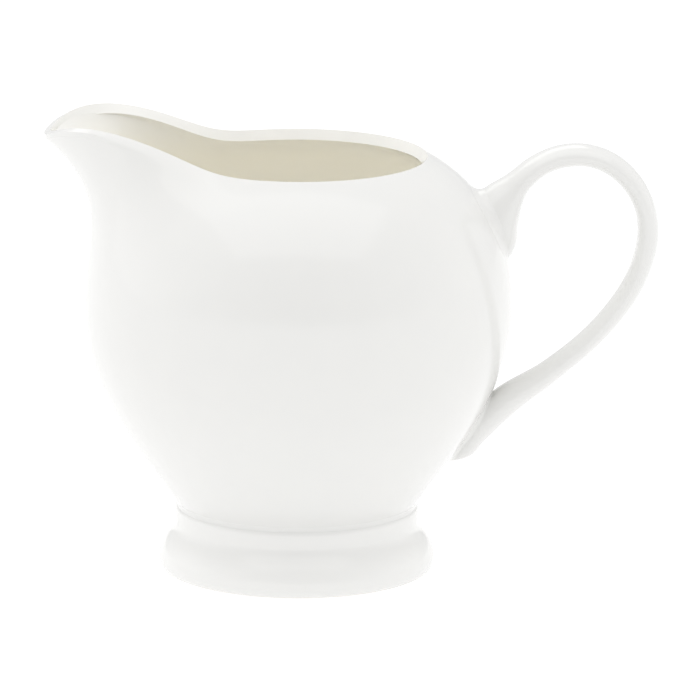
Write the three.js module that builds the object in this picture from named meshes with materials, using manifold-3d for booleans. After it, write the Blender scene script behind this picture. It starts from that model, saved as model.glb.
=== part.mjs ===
// Porcelain cream jug: a bellied bowl with a pulled pouring lip, a loop handle and a pedestal foot.
// Bowl, foot and handle are cast apart and luted together with liquid clay (slip), then glazed and
// fired. Millimetres, +Z up, pouring lip towards -X, handle towards +X, standing ring on Z = 0.

import * as THREE from 'three';
import { mergeVertices } from 'three/addons/utils/BufferGeometryUtils.js';
import Module from 'manifold-3d';

// ---- Driving dimensions ------------------------------------------------------------------------

const bellyRadius = 45;          // widest radius of the bowl
const bellyHeight = 56.6;        // height of the widest ring above the table
const rimHeight = 88.4;          // top of the lip, away from the spout
const rimRadius = 27.5;          // axis to the middle of the lip
const rimSlope = 27;             // degrees: how far the shoulder still climbs where it meets the lip
const wall = 2.4;                // bowl wall
const undersideHeight = 7.5;     // lowest point of the bowl, inside the foot

const seatRadius = 24.9;         // where the bowl leaves the foot's collar
const seatHeight = 13.7;
const seatSlope = 54;            // degrees: climb of the bowl wall as it leaves the collar

const spoutReach = 24.9;         // how far the lip is pulled out at the tip
const spoutSpread = 30;          // degrees each side of the tip over which the pull fades
const spoutRise = 9.3;           // how far the lip is drawn up beside the tip
const spoutRiseSpread = 38.5;    // degrees
const tipDip = 4.2;              // the tip itself turns down again by this much
const reachGrowth = 4.3;         // how sharply the pull grows from the belly to the lip, as a power
const riseGrowth = 2.3;          // the same for the draw upwards
const tipSpread = 12;            // degrees
const spoutDepth = 31;           // how far below the rim the pull begins

const footFullHeight = 2.5;      // where the moulding is widest
const footMouldingHeight = 8.7;  // groove between moulding and collar
const mouldingTurnHeight = 5.7;  // corner that the moulding's upper curve rounds off
const collarStep = 0.7;          // how far the upright collar stands out past the seat
const collarShoulder = 1.3;      // below the seat, where the collar starts to round inwards
const mouldingReach = 3.3;       // how far the moulding stands out past the collar
const footWall = 3;              // collar wall
const standingRingInset = 2.7;   // moulding's edge to the middle of the flat ring it stands on
const standingRingWidth = 2.4;
const collarRadius = seatRadius + collarStep;
const footRadius = collarRadius + mouldingReach;
const standingRingRadius = footRadius - standingRingInset;

const handleReach = 30.4;        // bowl's widest ring to the outside of the handle
const handleThickness = 4.6;     // in the plane of the loop
const handleWidth = 8;           // across the loop
const rootFlare = 2.2;           // how much wider each side is where the handle meets the shoulder
const handleCrest = 2.5;         // top of the handle above the rim
const upperRootDrop = 7.5;       // rim to where the handle's upper side leaves the bowl
const lowerRootHeight = 39;      // where the handle's inner side meets the bowl again

const slipThickness = 0.5;       // layer of slip in each luted joint
const clearance = 0.3;           // kept between a slip layer and the pieces that it joins
const lutingGap = slipThickness + 2 * clearance;

const turnSteps = 72;            // facets round the axis
const handleSteps = 40;          // facets along the handle
const sectionSteps = 14;         // facets round the handle's section

// ---- The bowl's outer line ---------------------------------------------------------------------

const radians = THREE.MathUtils.degToRad;
const point = (r, z) => new THREE.Vector2(r, z);

// A cubic from one point to another that leaves and arrives at the given angles, in degrees.
function sweepBetween(from, leaving, leavingPull, to, arriving, arrivingPull) {
  const away = point(Math.cos(radians(leaving)), Math.sin(radians(leaving)));
  const home = point(Math.cos(radians(arriving)), Math.sin(radians(arriving)));
  return new THREE.CubicBezierCurve(from, from.clone().addScaledVector(away, leavingPull),
    to.clone().addScaledVector(home, -arrivingPull), to);
}

const lipCentre = point(rimRadius, rimHeight - wall / 2);
const shoulderEnd = point(lipCentre.x + wall / 2 * Math.sin(radians(rimSlope)),
  lipCentre.y + wall / 2 * Math.cos(radians(rimSlope)));
const seat = point(seatRadius, seatHeight);
const widest = point(bellyRadius, bellyHeight);
const bottom = point(0, undersideHeight);

// Each stretch pulls on its neighbour in proportion to its own length, which keeps the line fair.
const bellyFullness = 0.36;
const shoulderFullness = 0.46;
const neckFullness = 0.33;
const undersideFlatness = 0.42;
const bellyPull = bellyFullness * seat.distanceTo(widest);
const shoulderPull = shoulderFullness * widest.distanceTo(shoulderEnd);
const shoulderEndPull = neckFullness * widest.distanceTo(shoulderEnd);
const undersidePull = undersideFlatness * seatRadius;

const outerLine = [
  { curve: sweepBetween(bottom, 0, undersidePull, seat, seatSlope, undersidePull / 2), steps: 4 },
  { curve: sweepBetween(seat, seatSlope, bellyPull, widest, 90, bellyPull), steps: 8 },
  { curve: sweepBetween(widest, 90, shoulderPull, shoulderEnd, 180 - rimSlope, shoulderEndPull), steps: 11 },
];

// Points of the outer line from the axis to the lip, with the outward direction at each.
function outerPoints() {
  const points = [];
  for (const { curve, steps } of outerLine) {
    for (let i = points.length ? 1 : 0; i <= steps; i++) {
      points.push(curve.getPoint(i / steps));
    }
  }
  return points;
}

function outwardAt(points, i) {
  const before = points[Math.max(i - 1, 0)];
  const after = points[Math.min(i + 1, points.length - 1)];
  const along = after.clone().sub(before).normalize();
  if (points[i].x === 0) along.set(1, 0);
  return point(along.y, -along.x);
}

const offsetLine = (points, distance) =>
  points.map((p, i) => p.clone().addScaledVector(outwardAt(points, i), distance));

// Outer radius of the round part of the bowl at a height between the collar and the rim.
const finePoints = outerLine.slice(1).flatMap(({ curve }) => curve.getPoints(60));
function bowlRadiusAt(height) {
  const above = finePoints.findIndex((p) => p.y >= height);
  const [low, high] = [finePoints[above - 1], finePoints[above]];
  return THREE.MathUtils.mapLinear(height, low.y, high.y, low.x, high.x);
}

// ---- The pulled pouring lip --------------------------------------------------------------------

const fade = (angle, spread, power) => Math.exp(-((angle / radians(spread)) ** power));

// Moves a point of the round profile out and up, by its height and its angle from the spout's tip.
function pullLip(p, fromTip) {
  const lipLevel = lipCentre.y;
  const pull = THREE.MathUtils.clamp((p.y - lipLevel + spoutDepth) / spoutDepth, 0, 1);
  const reach = spoutReach * fade(fromTip, spoutSpread, 2);
  const rise = spoutRise * fade(fromTip, spoutRiseSpread, 3) - tipDip * fade(fromTip, tipSpread, 2);
  return point(p.x + reach * pull ** reachGrowth, p.y + rise * pull ** riseGrowth);
}

// The bowl's closed section at an angle from the tip: outer line, rounded lip, inner line.
function bowlSection(fromTip) {
  const outer = outerPoints().map((p) => pullLip(p, fromTip));
  const inner = offsetLine(outer, -wall);
  const [outerEnd, innerEnd] = [outer.at(-1), inner.at(-1)];
  const middle = outerEnd.clone().add(innerEnd).multiplyScalar(0.5);
  const lip = [45, 90, 135].map((turn) => outerEnd.clone().rotateAround(middle, radians(turn)));
  return [...outer, ...lip, ...inner.reverse()];
}

// ---- Solids ------------------------------------------------------------------------------------

const wasm = await Module();
wasm.setup();

// A turned piece: a LatheGeometry whose section may change with the angle from the spout's tip.
function turned(sectionAt) {
  const rows = sectionAt(Math.PI);
  const geometry = new THREE.LatheGeometry(rows, turnSteps);
  const position = geometry.attributes.position;
  for (let column = 0; column <= turnSteps; column++) {
    const angle = (column % turnSteps) / turnSteps * 2 * Math.PI;
    const section = sectionAt(Math.acos(-Math.sin(angle)));
    section.forEach((p, row) => position.setXYZ(column * rows.length + row,
      p.x * Math.sin(angle), p.y, p.x * Math.cos(angle)));
  }
  return geometry.rotateX(Math.PI / 2);
}

function welded(geometry) {
  geometry.deleteAttribute('normal');
  geometry.deleteAttribute('uv');
  const merged = mergeVertices(geometry, 1e-4);
  const index = merged.index.array;
  const kept = [];
  for (let i = 0; i < index.length; i += 3) {
    const [a, b, c] = index.slice(i, i + 3);
    if (a !== b && b !== c && c !== a) kept.push(a, b, c);
  }
  return merged.setIndex(kept);
}

function solidOf(geometry) {
  const closed = welded(geometry);
  return new wasm.Manifold(new wasm.Mesh({
    numProp: 3,
    vertProperties: new Float32Array(closed.attributes.position.array),
    triVerts: new Uint32Array(closed.index.array),
  }));
}

function geometryOf(solid) {
  const { vertProperties, triVerts } = solid.getMesh();
  const geometry = new THREE.BufferGeometry();
  geometry.setAttribute('position', new THREE.BufferAttribute(vertProperties, 3));
  geometry.setIndex(new THREE.BufferAttribute(triVerts, 1));
  geometry.computeVertexNormals();
  return geometry;
}

// The round bowl as a filled body, grown by a distance: what is cut by it seats on the bowl.
function bowlBody(growth) {
  const line = offsetLine(outerPoints(), growth);
  return solidOf(turned(() => [...line, point(0, line.at(-1).y)]));
}

const slipOuterBody = bowlBody(clearance + slipThickness);
const slipInnerBody = bowlBody(clearance);
const seatingBody = bowlBody(lutingGap);
const slipLayer = (blank) => blank.intersect(slipOuterBody).subtract(slipInnerBody);

// ---- Foot --------------------------------------------------------------------------------------

// Ring section: standing ring, round moulding, groove, upright collar, then down the hollow inside.
function footSection() {
  const collarTop = seatHeight + lutingGap;
  const collarInside = seatRadius - footWall;
  const ringOuter = standingRingRadius + standingRingWidth / 2;
  const ringInner = standingRingRadius - standingRingWidth / 2;
  const path = new THREE.Path();
  path.moveTo(ringOuter, 0);
  path.quadraticCurveTo(footRadius, 0, footRadius, footFullHeight);
  path.quadraticCurveTo(footRadius, mouldingTurnHeight, collarRadius, footMouldingHeight);
  path.lineTo(collarRadius, seatHeight - collarShoulder);
  path.quadraticCurveTo(collarRadius, seatHeight, seatRadius, collarTop);
  path.lineTo(collarInside, collarTop);
  path.lineTo(collarInside, footMouldingHeight);
  path.quadraticCurveTo(collarInside, footMouldingHeight / 4, ringInner, 0);
  path.closePath();
  return path.getPoints(4);
}

const footBlank = solidOf(turned(footSection));

function slipRingSection() {
  const [inside, outside] = [seatRadius - footWall + clearance, seatRadius - clearance];
  return [point(inside, 0), point(outside, 0), point(outside, seatHeight + lutingGap),
    point(inside, seatHeight + lutingGap), point(inside, 0)];
}

const footSlipBlank = solidOf(turned(slipRingSection));

// ---- Handle ------------------------------------------------------------------------------------

// Stations along the loop from the upper root to the tail: outer edge, inner edge, half width.
// Heights near the top hang from the rim and those near the tail stand on the table.
const onBowl = (height, proud) => point(bowlRadiusAt(height) + proud, height);
const outside = (reach, height) => point(bellyRadius + reach, height);
const crest = rimHeight + handleCrest;
const upperRoot = rimHeight - upperRootDrop;
const gripWidth = handleWidth / 2;
const rootWidth = gripWidth + rootFlare;
const stations = [
  [onBowl(upperRoot - 6.5, -8), onBowl(upperRoot - 21, -7), rootWidth + 1.5 * rootFlare],
  [onBowl(upperRoot, 1.4), onBowl(upperRoot - 12.3, 1.8), rootWidth],
  [outside(-1.6, upperRoot + 3.4), outside(1.1, upperRoot - 6.4), gripWidth + rootFlare / 3],
  [outside(3.2, crest - 2.9), outside(3, crest - 10), gripWidth + 0.2],
  [outside(8.8, crest - 0.4), outside(8, crest - 0.4 - handleThickness - 0.7), gripWidth],
  [outside(handleReach - 15.4, crest), outside(handleReach - 16, crest - handleThickness), gripWidth],
  [outside(handleReach - 9, crest - 2.2), outside(handleReach - 11.5, crest - 6), gripWidth],
  [outside(handleReach - 3.8, crest - 7), outside(handleReach - 7.5, crest - 9.5), gripWidth],
  [outside(handleReach - 0.8, crest - 13.1), outside(handleReach - 5.1, crest - 14), gripWidth],
  [outside(handleReach, crest - 19.5), outside(handleReach - handleThickness, crest - 19.2), gripWidth],
  [outside(handleReach - 1.5, crest - 26.5), outside(handleReach - 5.8, crest - 25.2), gripWidth],
  [outside(25.6, lowerRootHeight + 18.4), outside(21.6, lowerRootHeight + 20.6), gripWidth],
  [outside(18.8, lowerRootHeight + 9.8), outside(15.3, lowerRootHeight + 12.7), gripWidth],
  [outside(9.2, lowerRootHeight + 1.2), outside(6.2, lowerRootHeight + 5.1), gripWidth],
  [onBowl(lowerRootHeight - 5.1, 7.6), onBowl(lowerRootHeight - 0.4, 1), gripWidth + 0.4],
  [onBowl(lowerRootHeight - 11.6, 4.9), onBowl(lowerRootHeight - 6, -2.5), gripWidth + 0.6],
  [onBowl(lowerRootHeight - 14.9, 4.2), onBowl(lowerRootHeight - 11, -2.5), gripWidth - 0.8],
  [onBowl(lowerRootHeight - 16, 2), onBowl(lowerRootHeight - 14.5, -1.5), gripWidth - 3],
];

const edgeCurve = (side) => new THREE.CatmullRomCurve3(
  stations.map((station) => new THREE.Vector3(station[side].x, station[2], station[side].y)));
const outerEdge = edgeCurve(0);
const innerEdge = edgeCurve(1);

// A closed oval bar between the two edges, from one fraction of the loop to another.
function handleBar(from, to, growth) {
  const bar = new THREE.CylinderGeometry(1, 1, 1, sectionSteps, handleSteps);
  const position = bar.attributes.position;
  for (let i = 0; i < position.count; i++) {
    const along = THREE.MathUtils.lerp(from, to, position.getY(i) + 0.5);
    const [outer, inner] = [outerEdge.getPoint(along), innerEdge.getPoint(along)];
    const middle = outer.clone().add(inner).multiplyScalar(0.5);
    const halfDepth = outer.clone().sub(middle).setY(0);
    const depth = position.getX(i) * (1 + growth / halfDepth.length());
    middle.addScaledVector(halfDepth, depth).setY(position.getZ(i) * (outer.y + growth));
    position.setXYZ(i, middle.x, middle.y, middle.z);
  }
  return solidOf(bar);
}

const handleBlank = handleBar(0, 1, 0);
const slipSpread = 0.4;          // slip squeezed out past the handle's edge
const upperSlipBlank = handleBar(0, 0.2, slipSpread);
const lowerSlipBlank = handleBar(0.72, 1, slipSpread);

// ---- Assembly ----------------------------------------------------------------------------------

const glaze = () => new THREE.MeshStandardMaterial({ color: 0xf1f1ee, roughness: 0.12, metalness: 0 });
const slip = () => new THREE.MeshStandardMaterial({ color: 0xe9e6dd, roughness: 0.5, metalness: 0 });

const jug = new THREE.Group();

function addPiece(name, geometry, material) {
  const mesh = new THREE.Mesh(geometry, material);
  mesh.name = name;
  jug.add(mesh);
}

addPiece('bowl', turned(bowlSection), glaze());
addPiece('foot', geometryOf(footBlank.subtract(seatingBody)), glaze());
addPiece('handle', geometryOf(handleBlank.subtract(seatingBody)), glaze());
addPiece('foot_slip_joint', geometryOf(slipLayer(footSlipBlank)), slip());
addPiece('upper_handle_slip_joint', geometryOf(slipLayer(upperSlipBlank)), slip());
addPiece('lower_handle_slip_joint', geometryOf(slipLayer(lowerSlipBlank)), slip());

// The origin is under the middle of the whole jug, spout and handle included, on the table.
const middleOfJug = new THREE.Box3().setFromObject(jug).getCenter(new THREE.Vector3());
jug.position.x = -middleOfJug.x;

export default jug;
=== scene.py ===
"""A white bone-china cream jug, built in the order a pottery puts it together.

Metres, +Z up, pouring lip towards -X, handle towards +X, standing ring on Z = 0.
"""

import math

import bmesh
import bpy
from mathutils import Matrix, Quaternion, Vector
from mathutils.bvhtree import BVHTree
from mathutils.geometry import interpolate_bezier


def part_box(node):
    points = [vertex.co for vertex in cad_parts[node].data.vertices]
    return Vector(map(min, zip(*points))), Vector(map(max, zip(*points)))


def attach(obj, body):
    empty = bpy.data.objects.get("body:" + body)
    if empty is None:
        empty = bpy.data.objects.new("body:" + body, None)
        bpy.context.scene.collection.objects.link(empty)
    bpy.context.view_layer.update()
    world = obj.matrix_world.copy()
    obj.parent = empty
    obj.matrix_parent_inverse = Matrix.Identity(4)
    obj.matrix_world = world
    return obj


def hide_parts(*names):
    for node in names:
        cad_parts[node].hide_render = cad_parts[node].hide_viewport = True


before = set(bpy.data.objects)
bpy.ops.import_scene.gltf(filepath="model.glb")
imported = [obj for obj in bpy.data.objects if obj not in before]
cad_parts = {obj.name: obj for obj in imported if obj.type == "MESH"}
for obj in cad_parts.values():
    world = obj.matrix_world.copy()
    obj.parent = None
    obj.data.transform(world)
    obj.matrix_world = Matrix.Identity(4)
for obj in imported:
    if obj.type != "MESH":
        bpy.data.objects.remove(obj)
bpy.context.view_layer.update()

# ---- Bowl --------------------------------------------------------------------------------------
# The body of the jug: cast in a plaster mould as one even wall of bone china, with the pouring lip
# pulled from that wall, its edge sponged round while damp, and clear gloss glaze inside and out.

MM = 0.001
bowl_low, bowl_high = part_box("bowl")
foot_low, foot_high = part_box("foot")
axis_x = (foot_low.x + foot_high.x) / 2

belly_radius = (bowl_high.y - bowl_low.y) / 2
belly_height = 56.6 * MM
rim_height = 88.4 * MM
rim_radius = 26.4 * MM
rim_slope = 27
wall = 2.4 * MM
underside_height = bowl_low.z
seat_radius = 24.9 * MM
seat_height = 13.7 * MM
seat_slope = 54

spout_reach = 24.9 * MM
spout_spread = 30
spout_rise = 9.3 * MM
spout_rise_spread = 38.5
tip_dip = 4.2 * MM
tip_spread = 12
spout_depth = 31 * MM
reach_growth = 4.3
rise_growth = 2.3

belly_fullness = 0.36            # how far each stretch of outline pulls, as a share of its length
shoulder_fullness = 0.46
neck_fullness = 0.33
underside_flatness = 0.42

turns = 144                      # columns of facets round the bowl


def sweep_between(start, leaving, leaving_pull, end, arriving, arriving_pull, count):
    """Points on a smooth stretch of outline that leaves and arrives at the given angles."""
    away = Vector((math.cos(math.radians(leaving)), math.sin(math.radians(leaving))))
    home = Vector((math.cos(math.radians(arriving)), math.sin(math.radians(arriving))))
    return interpolate_bezier(start, start + away * leaving_pull, end - home * arriving_pull,
                              end, count)


def bend(start, corner, end, count):
    """Points on a curve that rounds off a corner."""
    return interpolate_bezier(start, start.lerp(corner, 2 / 3), end.lerp(corner, 2 / 3), end, count)


def bowl_outline():
    """The bowl's outer line as radius and height, from its lowest point up to the lip."""
    slope = math.radians(rim_slope)
    bottom = Vector((0, underside_height))
    seat = Vector((seat_radius, seat_height))
    widest = Vector((belly_radius, belly_height))
    shoulder_end = Vector((rim_radius + wall / 2 * math.sin(slope),
                           rim_height - wall / 2 + wall / 2 * math.cos(slope)))
    belly_pull = belly_fullness * (widest - seat).length
    shoulder = (shoulder_end - widest).length
    underside_pull = underside_flatness * seat_radius
    underside = sweep_between(bottom, 0, underside_pull, seat, seat_slope, underside_pull / 2, 9)
    belly = sweep_between(seat, seat_slope, belly_pull, widest, 90, belly_pull, 17)
    top = sweep_between(widest, 90, shoulder_fullness * shoulder, shoulder_end, 180 - rim_slope,
                        neck_fullness * shoulder, 25)
    return underside + belly[1:] + top[1:]


def fade(angle, spread, power):
    return math.exp(-((angle / math.radians(spread)) ** power))


def pull_lip(place):
    """Where a point of the round wall goes when the pouring lip is pulled out and up."""
    lip_level = rim_height - wall / 2
    share = min(max((place.z - lip_level + spout_depth) / spout_depth, 0), 1)
    from_tip = math.atan2(abs(place.y), -place.x)
    reach = spout_reach * fade(from_tip, spout_spread, 2) * share ** reach_growth
    rise = spout_rise * fade(from_tip, spout_rise_spread, 3) - tip_dip * fade(from_tip, tip_spread, 2)
    outwards = Vector((place.x, place.y, 0)).normalized()
    return place + outwards * reach + Vector((0, 0, rise * share ** rise_growth))


def turned(outline, steps, closed=False):
    """A mesh turned round the upright axis from a line of radius and height."""
    mesh = bmesh.new()
    line = [mesh.verts.new((point[0], 0, point[1])) for point in outline]
    edges = [mesh.edges.new(pair) for pair in zip(line, line[1:])]
    if closed:
        edges.append(mesh.edges.new((line[-1], line[0])))
    bmesh.ops.spin(mesh, geom=line + edges, cent=(0, 0, 0), axis=(0, 0, 1), dvec=(0, 0, 0),
                   angle=2 * math.pi, steps=steps, use_merge=True, use_duplicate=False)
    bmesh.ops.remove_doubles(mesh, verts=mesh.verts, dist=0.001 * MM)
    bmesh.ops.recalc_face_normals(mesh, faces=mesh.faces)
    return mesh


def face_outwards(mesh):
    """Turns an open sheet round if its widest face points at the axis."""
    widest = max(mesh.faces, key=lambda face: face.calc_center_median().xy.length)
    if widest.normal.xy.dot(widest.calc_center_median().xy) < 0:
        bmesh.ops.reverse_faces(mesh, faces=mesh.faces)


def make_piece(name, mesh, materials, replaced):
    """Finishes a mesh as a smooth piece of the jug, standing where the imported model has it."""
    bmesh.ops.translate(mesh, verts=mesh.verts, vec=(axis_x, 0, 0))
    data = bpy.data.meshes.new(name)
    mesh.to_mesh(data)
    mesh.free()
    data.shade_smooth()
    piece = bpy.data.objects.new(name, data)
    bpy.context.collection.objects.link(piece)
    for material in materials:
        data.materials.append(material)
    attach(piece, "root")
    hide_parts(replaced)
    return piece


def add_subdivision(piece, levels):
    modifier = piece.modifiers.new("fair", "SUBSURF")
    modifier.levels = levels
    modifier.render_levels = levels


def make_glaze_group():
    """How a fired glaze varies over a piece: soft ripples and faint mottling, plus a painted warm glow
    that stands in for light coming through the china.
    """
    group = bpy.data.node_groups.new("glaze_skin", "ShaderNodeTree")
    for socket_name, kind, value in (("Body Color", "NodeSocketColor", (0.9, 0.9, 0.88, 1)),
                                     ("Mottle And Glow Color", "NodeSocketColor", (0.9, 0.87, 0.8, 1)),
                                     ("Painted Glow", "NodeSocketFloat", 0.0),
                                     ("Mottle", "NodeSocketFloat", 0.15),
                                     ("Gloss Roughness", "NodeSocketFloat", 0.12),
                                     ("Ripple", "NodeSocketFloat", 0.1)):
        socket = group.interface.new_socket(socket_name, in_out="INPUT", socket_type=kind)
        socket.default_value = value
    for socket_name, kind in (("Color", "NodeSocketColor"), ("Roughness", "NodeSocketFloat"),
                              ("Normal", "NodeSocketVector")):
        group.interface.new_socket(socket_name, in_out="OUTPUT", socket_type=kind)
    nodes, links = group.nodes, group.links
    given, result = nodes.new("NodeGroupInput"), nodes.new("NodeGroupOutput")
    place = nodes.new("ShaderNodeTexCoord")

    mottle = nodes.new("ShaderNodeTexNoise")
    mottle.inputs["Scale"].default_value = 140
    mottle.inputs["Detail"].default_value = 3
    links.new(place.outputs["Object"], mottle.inputs["Vector"])
    # Random mottle, plus the painted glow of light through the wall, mixes the body colour towards the
    # cream.
    spread = nodes.new("ShaderNodeMath")
    spread.operation = "MULTIPLY_ADD"
    links.new(mottle.outputs["Fac"], spread.inputs[0])
    links.new(given.outputs["Mottle"], spread.inputs[1])
    links.new(given.outputs["Painted Glow"], spread.inputs[2])
    spread.use_clamp = True
    tone = nodes.new("ShaderNodeMix")
    tone.data_type = "RGBA"
    links.new(spread.outputs[0], tone.inputs["Factor"])
    links.new(given.outputs["Body Color"], tone.inputs["A"])
    links.new(given.outputs["Mottle And Glow Color"], tone.inputs["B"])
    links.new(tone.outputs["Result"], result.inputs["Color"])

    sheen = nodes.new("ShaderNodeTexNoise")
    sheen.inputs["Scale"].default_value = 420
    links.new(place.outputs["Object"], sheen.inputs["Vector"])
    gloss = nodes.new("ShaderNodeMapRange")
    gloss.inputs["To Min"].default_value = 0.8
    gloss.inputs["To Max"].default_value = 1.2
    links.new(sheen.outputs["Fac"], gloss.inputs["Value"])
    roughness = nodes.new("ShaderNodeMath")
    roughness.operation = "MULTIPLY"
    links.new(gloss.outputs["Result"], roughness.inputs[0])
    links.new(given.outputs["Gloss Roughness"], roughness.inputs[1])
    links.new(roughness.outputs[0], result.inputs["Roughness"])

    ripple = nodes.new("ShaderNodeTexNoise")
    ripple.inputs["Scale"].default_value = 55
    ripple.inputs["Detail"].default_value = 1
    links.new(place.outputs["Object"], ripple.inputs["Vector"])
    bump = nodes.new("ShaderNodeBump")
    bump.inputs["Distance"].default_value = 0.4 * MM
    links.new(given.outputs["Ripple"], bump.inputs["Strength"])
    links.new(ripple.outputs["Fac"], bump.inputs["Height"])
    links.new(bump.outputs["Normal"], result.inputs["Normal"])
    return group


glaze_skin = make_glaze_group()
china_white = (0.832, 0.83, 0.814, 1)
# Painted glow: a warm cream, paler than the china, that stands in for warm light coming through real china
# and not this wall. The mottle also mixes a little of it in everywhere, as random tone.
mottle_and_glow_cream = (0.997, 0.984, 0.935, 1)


def glazed(name, painted_glow, mottle, ripple):
    """Bone china under clear glaze. Returns the material, its group node and its shader."""
    material = bpy.data.materials.new(name)
    material.use_nodes = True
    nodes, links = material.node_tree.nodes, material.node_tree.links
    shader = nodes["Principled BSDF"]
    skin = nodes.new("ShaderNodeGroup")
    skin.node_tree = glaze_skin
    skin.inputs["Body Color"].default_value = china_white
    skin.inputs["Mottle And Glow Color"].default_value = mottle_and_glow_cream
    skin.inputs["Painted Glow"].default_value = painted_glow
    skin.inputs["Mottle"].default_value = mottle
    skin.inputs["Gloss Roughness"].default_value = 0.16
    skin.inputs["Ripple"].default_value = ripple
    links.new(skin.outputs["Color"], shader.inputs["Base Color"])
    links.new(skin.outputs["Roughness"], shader.inputs["Roughness"])
    links.new(skin.outputs["Normal"], shader.inputs["Normal"])
    shader.inputs["IOR"].default_value = 1.5
    shader.inputs["Coat Weight"].default_value = 0.6
    shader.inputs["Coat Roughness"].default_value = 0.04
    return material, skin, shader


def paints_glow_below_lip(skin, tree, start, full, most):
    """Paints a warm glow, standing in for light through the china's wall, from one depth below the lip to
    another, down into the jug.
    """
    depth = tree.nodes.new("ShaderNodeAttribute")
    depth.attribute_name = "below_lip"
    painted_glow = tree.nodes.new("ShaderNodeMapRange")
    painted_glow.interpolation_type = "SMOOTHSTEP"
    painted_glow.inputs["From Min"].default_value = start
    painted_glow.inputs["From Max"].default_value = full
    painted_glow.inputs["To Max"].default_value = most
    tree.links.new(depth.outputs["Fac"], painted_glow.inputs["Value"])
    tree.links.new(painted_glow.outputs["Result"], skin.inputs["Painted Glow"])


outside_glaze = glazed("outside_glaze", painted_glow=0.0, mottle=0.12, ripple=0.06)[0]
inside_glaze, inside_skin, _ = glazed("inside_glaze", painted_glow=0.0, mottle=0.12, ripple=0.1)
# The inside and the foot are set a shade lighter than the outside.
# Painted light: the inside china is lighter than the outside, standing in for light that bounces round the
# bowl and comes through its wall.
inside_skin.inputs["Body Color"].default_value = (0.93, 0.925, 0.9, 1)
# Painted light: below the lip the inside warms to cream, standing in for light that comes through the
# wall.
paints_glow_below_lip(inside_skin, inside_glaze.node_tree, start=1 * MM, full=6 * MM, most=0.9)

bowl_mesh = turned(bowl_outline(), turns)
below_lip = bowl_mesh.verts.layers.float.new("below_lip")
lip_level = max(vert.co.z for vert in bowl_mesh.verts)
for vert in bowl_mesh.verts:
    vert[below_lip] = lip_level - vert.co.z
    vert.co = pull_lip(vert.co)
face_outwards(bowl_mesh)
bowl_skin = BVHTree.FromBMesh(bowl_mesh)
bowl = make_piece("bowl_china", bowl_mesh, [outside_glaze, inside_glaze], "bowl")

shell = bowl.modifiers.new("wall", "SOLIDIFY")
shell.thickness = wall
shell.offset = -1
shell.use_even_offset = True
shell.material_offset = 1
shell.material_offset_rim = 1
round_lip = bowl.modifiers.new("sponged_lip", "BEVEL")
round_lip.width = 0.49 * wall
round_lip.segments = 6
round_lip.limit_method = "ANGLE"
round_lip.angle_limit = math.radians(30)
add_subdivision(bowl, 1)

# ---- Foot --------------------------------------------------------------------------------------
# A pedestal ring, cast separately: upright collar, groove, rounded moulding and a flat ring that it
# stands on. Glazed all over, but wiped bare on the standing ring so that it won't fuse to the shelf.

collar_wall = 3 * MM
collar_radius = 25.6 * MM
groove_height = 8.7 * MM
moulding_radius = (foot_high.x - foot_low.x) / 2
full_height = 2.5 * MM           # where the moulding is widest
turn_height = 5.7 * MM           # corner that the moulding's upper curve rounds off
groove_fillet = 1.2 * MM
collar_shoulder = 1.3 * MM       # below the seat, where the collar starts to round inwards
ring_radius = 26.2 * MM
ring_width = 2.4 * MM


def foot_outline():
    """The ring's section as radius and height, closed on itself; its top sits in the bowl's wall."""
    at = lambda radius, height: Vector((radius, height))
    inside = seat_radius - collar_wall
    ring_out, ring_in = ring_radius + ring_width / 2, ring_radius - ring_width / 2
    seat = at(seat_radius, seat_height)
    groove = at(collar_radius, groove_height)
    fullest = at(moulding_radius, full_height)
    shoulder = at(collar_radius, seat_height - collar_shoulder)
    sunk = at(seat_radius - 0.6 * MM, seat_height + 0.4 * MM)
    under = bend(at(ring_out, 0), at(moulding_radius, 0), fullest, 8)
    over = bend(fullest, at(moulding_radius, turn_height), groove, 10)
    above_groove = at(collar_radius, groove_height + groove_fillet)
    hollowed = bend(over[-3], groove, above_groove, 7)
    collar = [above_groove.lerp(shoulder, step / 3) for step in range(4)]
    neck = bend(shoulder, at(collar_radius, seat_height - 0.35 * MM), seat, 6)
    hollow = bend(at(inside, groove_height), at(inside, groove_height / 4), at(ring_in, 0), 10)
    return ([at(ring_in, 0), at(ring_radius, 0)] + under + over[1:-3] + hollowed + collar[1:] + neck[1:]
            + [sunk, at(inside, seat_height - 2.8 * MM)] + hollow[:-1])


def bare_ring(skin, shader, tree):
    """Leaves the lowest few tenths of a millimetre as dry, unglazed biscuit."""
    place = tree.nodes.new("ShaderNodeTexCoord")
    parts = tree.nodes.new("ShaderNodeSeparateXYZ")
    grit = tree.nodes.new("ShaderNodeTexNoise")
    grit.inputs["Scale"].default_value = 600
    edge = tree.nodes.new("ShaderNodeMath")
    edge.operation = "MULTIPLY_ADD"
    edge.inputs[1].default_value = 0.3 * MM
    bare = tree.nodes.new("ShaderNodeMath")
    bare.operation = "LESS_THAN"
    bare.inputs[1].default_value = 0.35 * MM
    colour = tree.nodes.new("ShaderNodeMix")
    colour.data_type = "RGBA"
    colour.inputs["B"].default_value = (0.8, 0.77, 0.7, 1)
    dryness = tree.nodes.new("ShaderNodeMix")
    dryness.inputs["B"].default_value = 0.75
    tree.links.new(place.outputs["Object"], parts.inputs[0])
    tree.links.new(place.outputs["Object"], grit.inputs["Vector"])
    tree.links.new(grit.outputs["Fac"], edge.inputs[0])
    tree.links.new(parts.outputs["Z"], edge.inputs[2])
    tree.links.new(edge.outputs[0], bare.inputs[0])
    tree.links.new(bare.outputs[0], colour.inputs["Factor"])
    tree.links.new(skin.outputs["Color"], colour.inputs["A"])
    tree.links.new(colour.outputs["Result"], shader.inputs["Base Color"])
    tree.links.new(bare.outputs[0], dryness.inputs["Factor"])
    tree.links.new(skin.outputs["Roughness"], dryness.inputs["A"])
    tree.links.new(dryness.outputs["Result"], shader.inputs["Roughness"])


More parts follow.
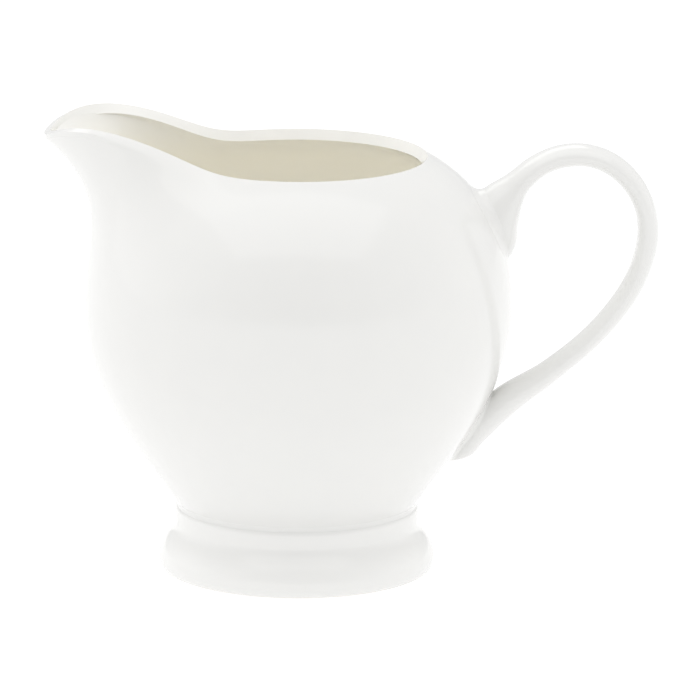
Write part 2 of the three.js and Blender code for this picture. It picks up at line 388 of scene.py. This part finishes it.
foot_glaze, foot_skin, foot_shader = glazed("foot_glaze", painted_glow=0.0, mottle=0.12, ripple=0.06)
# Painted light: the foot is a shade lighter than the bowl's china, standing in for light thrown up onto it
# from the table.
foot_skin.inputs["Body Color"].default_value = (0.885, 0.883, 0.867, 1)
bare_ring(foot_skin, foot_shader, foot_glaze.node_tree)
foot_mesh = turned(foot_outline(), turns, closed=True)
foot_skin_tree = BVHTree.FromBMesh(foot_mesh)
foot = make_piece("foot_china", foot_mesh, [foot_glaze], "foot")
foot.data.set_sharp_from_angle(angle=math.radians(40))

# ---- Handle ------------------------------------------------------------------------------------
# A loop of solid bone china, cast in its own mould. Its root flares where it springs from the
# shoulder and stands proud in a spur below; its tail lies down along the belly to a rounded end.

handle_thickness = 4.6 * MM
handle_reach = 30.4 * MM         # bowl's widest ring to the outside of the handle
crest = rim_height + 2.5 * MM
upper_root = rim_height - 7.5 * MM
lower_root = 39 * MM
grip_width = 4 * MM              # half the handle's width, as are all these widths
root_width = 6.2 * MM
seated = 0.9 * MM                # how deep the handle's ends sit in the bowl's wall
cuts_per_gap = 24                # between two stations
free_cuts = 12                   # square rings stop this far before the bowl


def bowl_radius_at(height):
    """The round bowl's outer radius at a height, away from the pouring lip."""
    line = bowl_outline()
    for low, high in zip(line, line[1:]):
        if low.y <= height <= high.y:
            return low.lerp(high, (height - low.y) / (high.y - low.y)).x
    return line[-1].x


def on_bowl(height, proud):
    return Vector((bowl_radius_at(height) + proud * MM, 0, height))


def outside(reach, height):
    return Vector((belly_radius + reach, 0, height))


def handle_stations():
    """Outer edge, inner edge and half width at places along the loop, from shoulder to tail."""
    top, up, low, far = crest, upper_root, lower_root, handle_reach
    return [
        (on_bowl(up - 6.5 * MM, -8), on_bowl(up - 21 * MM, -7), root_width + 3.4 * MM),
        (on_bowl(up, 1.4), on_bowl(up - 12.3 * MM, 1.8), root_width),
        (outside(-1.6 * MM, up + 3.4 * MM), outside(1.1 * MM, up - 6.4 * MM), grip_width + 0.7 * MM),
        (outside(3.2 * MM, top - 2.9 * MM), outside(3 * MM, top - 10 * MM), grip_width + 0.2 * MM),
        (outside(8.8 * MM, top - 0.4 * MM), outside(8 * MM, top - 1.1 * MM - handle_thickness),
         grip_width),
        (outside(far - 15.4 * MM, top), outside(far - 16 * MM, top - handle_thickness), grip_width),
        (outside(far - 9 * MM, top - 2.2 * MM), outside(far - 11.5 * MM, top - 6 * MM), grip_width),
        (outside(far - 3.8 * MM, top - 7 * MM), outside(far - 7.5 * MM, top - 9.5 * MM), grip_width),
        (outside(far - 0.8 * MM, top - 13.1 * MM), outside(far - 5.1 * MM, top - 14 * MM), grip_width),
        (outside(far, top - 19.5 * MM), outside(far - handle_thickness, top - 19.2 * MM), grip_width),
        (outside(far - 1.5 * MM, top - 26.5 * MM), outside(far - 5.8 * MM, top - 25.2 * MM),
         grip_width),
        (outside(25.6 * MM, low + 18.4 * MM), outside(21.6 * MM, low + 20.6 * MM), grip_width),
        (outside(18.8 * MM, low + 9.8 * MM), outside(15.3 * MM, low + 12.7 * MM), grip_width),
        (outside(9.2 * MM, low + 1.2 * MM), outside(6.2 * MM, low + 5.1 * MM), grip_width),
        (on_bowl(low - 5.1 * MM, 7.6), on_bowl(low - 0.4 * MM, 1), grip_width + 0.4 * MM),
        (on_bowl(low - 11.6 * MM, 4.9), on_bowl(low - 6 * MM, -2.5), grip_width + 0.6 * MM),
        (on_bowl(low - 14.9 * MM, 4.2), on_bowl(low - 11 * MM, -2.5), grip_width - 0.8 * MM),
        (on_bowl(low - 16 * MM, 2), on_bowl(low - 14.5 * MM, -1.5), grip_width - 2.4 * MM),
        (on_bowl(low - 16.3 * MM, -0.6), on_bowl(low - 15.6 * MM, -2.4), grip_width - 3 * MM),
        (on_bowl(low - 16.2 * MM, -2), on_bowl(low - 15.8 * MM, -3), grip_width - 3.4 * MM),
    ]


def smooth_line(points, cuts):
    """A smooth line through every point, with the same number of cuts in each gap."""
    reached = [2 * points[0] - points[1]] + points + [2 * points[-1] - points[-2]]
    line = [points[0]]
    for before, start, end, after in zip(reached, reached[1:], reached[2:], reached[3:]):
        first, second, third = [math.sqrt((b - a).length)
                                for a, b in ((before, start), (start, end), (end, after))]
        leaving = (start - before) / first - (end - before) / (first + second) + (end - start) / second
        arriving = (end - start) / second - (after - start) / (second + third) + (after - end) / third
        line += interpolate_bezier(start, start + leaving * second / 3, end - arriving * second / 3,
                                   end, cuts + 1)[1:]
    return line


stations = handle_stations()
outer_edge = smooth_line([outer + Vector((0, width, 0)) for outer, inner, width in stations],
                         cuts_per_gap)
inner_edge = smooth_line([inner + Vector((0, width, 0)) for outer, inner, width in stations],
                         cuts_per_gap)


def on_handle(along, turn):
    """A point of the handle's skin. Along counts the cuts; a turn of zero is the loop's outside."""
    cut = min(int(along), len(outer_edge) - 2)
    outer = outer_edge[cut].lerp(outer_edge[cut + 1], along - cut)
    inner = inner_edge[cut].lerp(inner_edge[cut + 1], along - cut)
    middle, half_depth = (outer + inner) / 2, (outer - inner) / 2
    return Vector((middle.x + half_depth.x * math.cos(turn), outer.y * math.sin(turn),
                   middle.z + half_depth.z * math.cos(turn)))


def proud_of_bowl(place):
    """How far a point stands outside the bowl's skin; inside it is below zero."""
    nearest, normal, _, _ = bowl_skin.find_nearest(place)
    return (place - nearest).dot(normal)


def comes_out(turn, depth, end_of_loop):
    """How far along one line of the handle's skin it comes out of the bowl, at a depth in its wall."""
    last = len(outer_edge) - 1
    inside, step = (last, -1) if end_of_loop else (0, 1)
    while proud_of_bowl(on_handle(inside + step, turn)) < -depth:
        inside += step
    beyond = inside + step
    for _ in range(18):
        middle = (inside + beyond) / 2
        if proud_of_bowl(on_handle(middle, turn)) < -depth:
            inside = middle
        else:
            beyond = middle
    return (inside + beyond) / 2


def drawn_out(sections, closed):
    """A skin drawn through sections with the same number of points, joined into a ring or capped."""
    mesh = bmesh.new()
    order = mesh.verts.layers.int.new("order")
    verts = [mesh.verts.new(point) for point in sections[0]]
    for number, vert in enumerate(verts):
        vert[order] = number
    first = [mesh.edges.new(pair) for pair in zip(verts, verts[1:] + verts[:1])]
    edges = first
    for section in sections[1:]:
        grown = bmesh.ops.extrude_edge_only(mesh, edges=edges)["geom"]
        verts = [part for part in grown if isinstance(part, bmesh.types.BMVert)]
        edges = [part for part in grown if isinstance(part, bmesh.types.BMEdge)
                 and all(vert in verts for vert in part.verts)]
        for vert in verts:
            vert.co = section[vert[order]]
    if closed:
        bmesh.ops.bridge_loops(mesh, edges=first + edges)
    else:
        bmesh.ops.contextual_create(mesh, geom=first)
        bmesh.ops.contextual_create(mesh, geom=edges)
    mesh.verts.layers.int.remove(order)
    bmesh.ops.recalc_face_normals(mesh, faces=mesh.faces)
    return mesh


def handle_sections(end_rings, loop_rings, turns_round):
    """Rings along the loop. The ones at each end spread out until they lie on the bowl's curve."""
    turn_angles = [2 * math.pi * number / turns_round for number in range(turns_round)]
    starts = [comes_out(turn, seated, False) for turn in turn_angles]
    ends = [comes_out(turn, seated, True) for turn in turn_angles]
    free_start, free_end = max(starts) + free_cuts, min(ends) - free_cuts
    rings = [[start + (free_start - start) * step / end_rings for start in starts]
             for step in range(end_rings)]
    rings += [[free_start + (free_end - free_start) * step / loop_rings] * turns_round
              for step in range(loop_rings)]
    rings += [[free_end + (end - free_end) * step / end_rings for end in ends]
              for step in range(end_rings + 1)]
    return [[on_handle(along, turn) for along, turn in zip(ring, turn_angles)] for ring in rings]


handle_glaze = glazed("handle_glaze", painted_glow=0.0, mottle=0.12, ripple=0.06)[0]
handle_mesh = drawn_out(handle_sections(36, 150, 48), closed=False)
handle_skin = BVHTree.FromBMesh(handle_mesh)
make_piece("loop_handle", handle_mesh, [handle_glaze], "handle")

# ---- Luting slip -------------------------------------------------------------------------------
# Liquid clay that sticks the castings together. What squeezes out is wiped with a damp brush into
# a small hollow curve along each joint, and the glaze then covers it.

def slip_section(corner, on_first, on_second, first_normal, second_normal):
    """A hollow curve between two skins, closed by a root that sinks into both of them."""
    sunk, root_depth, hollowness = 0.05 * MM, 0.45 * MM, 0.56
    start = on_first - first_normal * sunk
    end = on_second - second_normal * sunk
    curve = interpolate_bezier(start, start.lerp(corner, hollowness), end.lerp(corner, hollowness), end, 9)
    return curve + [corner - (first_normal + second_normal).normalized() * root_depth]


def crossing_line(end_of_loop, samples):
    """Where the handle's skin crosses the bowl's, evenly spaced, with the handle's normal there."""
    places, normals = [], []
    for number in range(samples):
        turn = 2 * math.pi * number / samples
        along = comes_out(turn, 0, end_of_loop)
        place = on_handle(along, turn)
        across = on_handle(along, turn + 0.01) - on_handle(along, turn - 0.01)
        lengthways = on_handle(along + 0.5, turn) - on_handle(along - 0.5, turn)
        normal = across.cross(lengthways).normalized()
        middle = (on_handle(along, turn) + on_handle(along, turn + math.pi)) / 2
        if normal.dot(place - middle) < 0:
            normal = -normal
        places.append(place)
        normals.append(normal)
    return places, normals


def root_slip(name, end_of_loop, above, beside, below, replaced):
    """Slip round one end of the handle, wiped to its own width above, beside and below the root."""
    samples = 120
    places, normals = crossing_line(end_of_loop, samples)
    lengths = [(places[(number + 1) % samples] - place).length for number, place in enumerate(places)]
    total, spots = sum(lengths), 96
    sections, spent, number = [], 0, 0
    spaced = []
    for spot in range(spots):
        wanted = total * spot / spots
        while spent + lengths[number] < wanted:
            spent += lengths[number]
            number += 1
        share = (wanted - spent) / lengths[number]
        following = (number + 1) % samples
        turn = 2 * math.pi * (number + share) / samples
        spaced.append((places[number].lerp(places[following], share),
                       normals[number].lerp(normals[following], share).normalized(), turn))
    for spot, (place, normal, turn) in enumerate(spaced):
        run = (spaced[(spot + 1) % spots][0] - spaced[spot - 1][0]).normalized()
        _, bowl_normal, _, _ = bowl_skin.find_nearest(place)
        over_bowl = run.cross(bowl_normal).normalized()
        if over_bowl.dot(normal) < 0:
            over_bowl = -over_bowl
        up_handle = run.cross(normal).normalized()
        if up_handle.dot(bowl_normal) < 0:
            up_handle = -up_handle
        upward = max(math.cos(turn), 0) ** 2
        downward = max(-math.cos(turn), 0) ** 2
        reach = above * upward + below * downward + beside * (1 - upward - downward)
        near_bowl, near_bowl_normal, _, _ = bowl_skin.find_nearest(place + over_bowl * reach)
        near_handle, near_handle_normal, _, _ = handle_skin.find_nearest(place + up_handle * reach)
        sections.append(slip_section(place, near_bowl, near_handle, near_bowl_normal,
                                     near_handle_normal))
    piece = make_piece(name, drawn_out(sections, closed=True), [slip_glaze], replaced)
    piece.data.set_sharp_from_angle(angle=math.radians(50))


def collar_slip(name, outside_reach, inside_reach):
    """One ring of slip outside the collar and one in the recess, both against the bowl's underside."""
    both = bmesh.new()
    inside = seat_radius - collar_wall
    line = bowl_outline()
    under = next(low.lerp(high, (inside - low.x) / (high.x - low.x))
                 for low, high in zip(line, line[1:]) if low.x <= inside <= high.x)
    for corner, down, side, reach in (
            (Vector((seat_radius, 0, seat_height)), Vector((0.5, 0, -0.87)), 1, outside_reach),
            (Vector((under.x, 0, under.y)), Vector((0, 0, -1)), -1, inside_reach)):
        _, bowl_normal, _, _ = bowl_skin.find_nearest(corner)
        over_bowl = Vector((-bowl_normal.z, 0, bowl_normal.x)) * side
        near_bowl, near_normal, _, _ = bowl_skin.find_nearest(corner + over_bowl * reach)
        near_foot, foot_normal, _, _ = foot_skin_tree.find_nearest(corner + down * reach)
        section = slip_section(corner, near_bowl, near_foot, near_normal, foot_normal)
        line = [both.verts.new((point.x, 0, point.z)) for point in section]
        edges = [both.edges.new(pair) for pair in zip(line, line[1:] + line[:1])]
        bmesh.ops.spin(both, geom=line + edges, cent=(0, 0, 0), axis=(0, 0, 1), dvec=(0, 0, 0),
                       angle=2 * math.pi, steps=turns, use_merge=True, use_duplicate=False)
    bmesh.ops.recalc_face_normals(both, faces=both.faces)
    piece = make_piece(name, both, [slip_glaze], "foot_slip_joint")
    piece.data.set_sharp_from_angle(angle=math.radians(50))


slip_glaze = glazed("slip_glaze", painted_glow=0.0, mottle=0.12, ripple=0.06)[0]
collar_slip("foot_slip", 1.1 * MM, 1.2 * MM)
root_slip("shoulder_slip", False, 2.6 * MM, 2.4 * MM, 0.35 * MM, "upper_handle_slip_joint")
root_slip("tail_slip", True, 0.3 * MM, 2 * MM, 0.9 * MM, "lower_handle_slip_joint")

# ---- Studio ------------------------------------------------------------------------------------
# A glowing white table in a soft white tent: brighter at both sides and overhead, dimmer where the
# camera looks in, with long softboxes above the jug, one behind and one in front.

view_distance = 1.8
view_width = 146.8 * MM
view_elevation = 13.2
view_roll = 0.35
aim = Vector((0.3 * MM, 0, 46.55 * MM))


def add_camera():
    camera = bpy.data.objects.new("camera", bpy.data.cameras.new("camera"))
    bpy.context.collection.objects.link(camera)
    tilt = math.radians(view_elevation)
    back = Vector((0, -math.cos(tilt), math.sin(tilt)))
    camera.location = aim + back * view_distance
    camera.rotation_mode = "QUATERNION"
    camera.rotation_quaternion = (Quaternion(back, math.radians(view_roll))
                                  @ (-back).to_track_quat("-Z", "Y"))
    camera.data.lens = camera.data.sensor_width * view_distance / view_width
    camera.data.clip_end = 20
    bpy.context.scene.camera = camera


add_camera()


def add_table():
    mesh = bmesh.new()
    bmesh.ops.create_circle(mesh, cap_ends=True, segments=96, radius=4)
    data = bpy.data.meshes.new("table")
    mesh.to_mesh(data)
    mesh.free()
    table = bpy.data.objects.new("table", data)
    bpy.context.collection.objects.link(table)
    acrylic = bpy.data.materials.new("table_white")
    acrylic.use_nodes = True
    shader = acrylic.node_tree.nodes["Principled BSDF"]
    shader.inputs["Base Color"].default_value = (0.35, 0.35, 0.35, 1)
    shader.inputs["Roughness"].default_value = 0.9
    shader.inputs["Specular IOR Level"].default_value = 0.2
    shader.inputs["Emission Color"].default_value = (1, 1, 1, 1)
    shader.inputs["Emission Strength"].default_value = 0.72
    data.materials.append(acrylic)


add_table()


def add_softbox(name, turn, elevation, distance, width, height, power):
    """A soft panel that faces the jug. A turn of zero is over the camera; it grows to the right."""
    light = bpy.data.lights.new(name, "AREA")
    light.shape = "RECTANGLE"
    light.size = width
    light.size_y = height
    light.energy = power
    panel = bpy.data.objects.new(name, light)
    bpy.context.collection.objects.link(panel)
    around, up = math.radians(turn), math.radians(elevation)
    towards = Vector((math.sin(around) * math.cos(up), -math.cos(around) * math.cos(up), math.sin(up)))
    panel.location = aim + towards * distance
    panel.rotation_mode = "QUATERNION"
    panel.rotation_quaternion = (-towards).to_track_quat("-Z", "Y")


add_softbox("back_softbox", 205, 50, 1.2, 1.2, 0.5, 1.7)
add_softbox("top_softbox", 0, 74, 1.2, 1.6, 1.3, 2.9)


def light_tent(base, glows):
    """White cloth all round, with a soft glow in each given direction."""
    world = bpy.data.worlds.new("white_tent")
    world.use_nodes = True
    nodes, links = world.node_tree.nodes, world.node_tree.links
    background = nodes["Background"]
    looking = nodes.new("ShaderNodeTexCoord")
    total = None
    for direction, spread, strength in glows:
        towards = nodes.new("ShaderNodeVectorMath")
        towards.operation = "DOT_PRODUCT"
        towards.inputs[1].default_value = Vector(direction).normalized()
        facing = nodes.new("ShaderNodeMath")
        facing.operation = "MAXIMUM"
        facing.inputs[1].default_value = 0
        focus = nodes.new("ShaderNodeMath")
        focus.operation = "POWER"
        focus.inputs[1].default_value = spread
        add = nodes.new("ShaderNodeMath")
        add.operation = "MULTIPLY_ADD"
        add.inputs[1].default_value = strength
        add.inputs[2].default_value = base
        links.new(looking.outputs["Generated"], towards.inputs[0])
        links.new(towards.outputs["Value"], facing.inputs[0])
        links.new(facing.outputs[0], focus.inputs[0])
        links.new(focus.outputs[0], add.inputs[0])
        if total is not None:
            links.new(total, add.inputs[2])
        total = add.outputs[0]
    links.new(total, background.inputs["Strength"])
    background.inputs["Color"].default_value = (1, 1, 1, 1)
    bpy.context.scene.world = world


light_tent(0.58, [((0, 0, 1), 2, 0.36), ((0, 1, 0), 2, 0.2), ((-1, 0, 0), 2, 0.46),
                  ((1, 0, 0), 2, 0.4), ((-1, 0.2, -0.05), 8, 0.24), ((1, 0.3, 0), 8, 0.22)])

# White china passes light on from wall to wall many times, above all inside the bowl.
bpy.context.scene.cycles.diffuse_bounces = 24
bpy.context.scene.cycles.max_bounces = 32
bpy.context.scene.view_settings.view_transform = "Standard"
